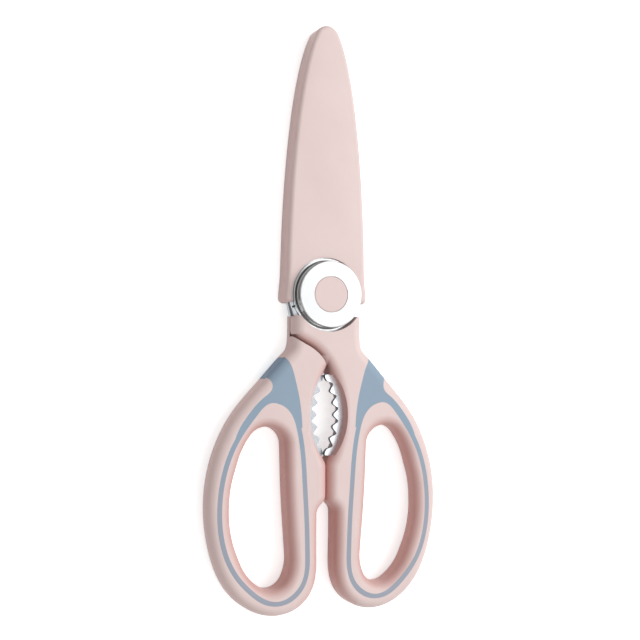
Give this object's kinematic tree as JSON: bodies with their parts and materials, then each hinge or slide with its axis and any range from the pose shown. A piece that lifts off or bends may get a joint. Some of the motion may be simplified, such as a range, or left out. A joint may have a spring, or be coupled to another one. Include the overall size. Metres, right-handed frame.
{
  "type": "kitchen shears",
  "caption": "Kitchen shears with finger loops, a toothed nut and bottle-cap cracker between the handles, a capped pivot and a slide-on sheath. The magnets modelled in the sheath's back are a guess.",
  "frame": {"origin": "on the pivot axis, in the flat plane that the closed shears rest on under their back", "axes": "+Z along the pivot axis, towards the front that the picture shows; +Y along the closed blades towards their tips; +X to the right seen from the front"},
  "size_m": [0.097, 0.2318, 0.014],
  "materials": {
    "blade_steel": "satin ground stainless steel, brushed across the blade",
    "handle_plastic": "satin pale pink hard plastic",
    "soft_grip": "matt blue-grey soft plastic",
    "pivot_cap": "bright turned metal",
    "cap_insert": "satin pale pink hard plastic",
    "slip_washer": "plain white nylon",
    "pivot_steel": "turned steel",
    "sheath_plastic": "satin pale pink hard plastic",
    "magnet": "nickel plated"
  },
  "bodies": {
    "pivot": {"pivot_screw": "pivot_steel", "pivot_nut": "pivot_steel", "front_pivot_cap": "pivot_cap", "rear_pivot_cap": "pivot_cap", "front_cap_insert": "cap_insert", "rear_cap_insert": "cap_insert", "front_slip_washer": "slip_washer", "rear_spring_washer": "pivot_steel"},
    "front_half": {"front_blade": "blade_steel", "front_handle": "handle_plastic", "front_grip_inlay": "soft_grip"},
    "rear_half": {"rear_blade": "blade_steel", "rear_handle": "handle_plastic", "rear_grip_inlay": "soft_grip"},
    "sheath": {"sheath": "sheath_plastic", "sheath_magnet_cover": "sheath_plastic", "sheath_lower_magnet": "magnet", "sheath_upper_magnet": "magnet"}
  },
  "joints": [
    {"name": "sheath_slide", "type": "slide", "parent": "pivot", "child": "sheath", "axis": [0, 1, 0], "range_m": [0, 0.32]},
    {"name": "front_half_hinge", "type": "hinge", "parent": "pivot", "child": "front_half", "pos_m": [0, 0, 0.0063], "axis": [0, 0, 1], "range_deg": [0, 25.7]},
    {"name": "rear_half_hinge", "type": "hinge", "parent": "pivot", "child": "rear_half", "pos_m": [0, 0, 0.0063], "axis": [0, 0, 1], "range_deg": [-25.7, 0]}
  ],
  "couplings": [
    {"joint": "front_half_hinge", "follows": "sheath_slide", "rad_per_m": 1.4},
    {"joint": "rear_half_hinge", "follows": "sheath_slide", "rad_per_m": -1.4}
  ]
}
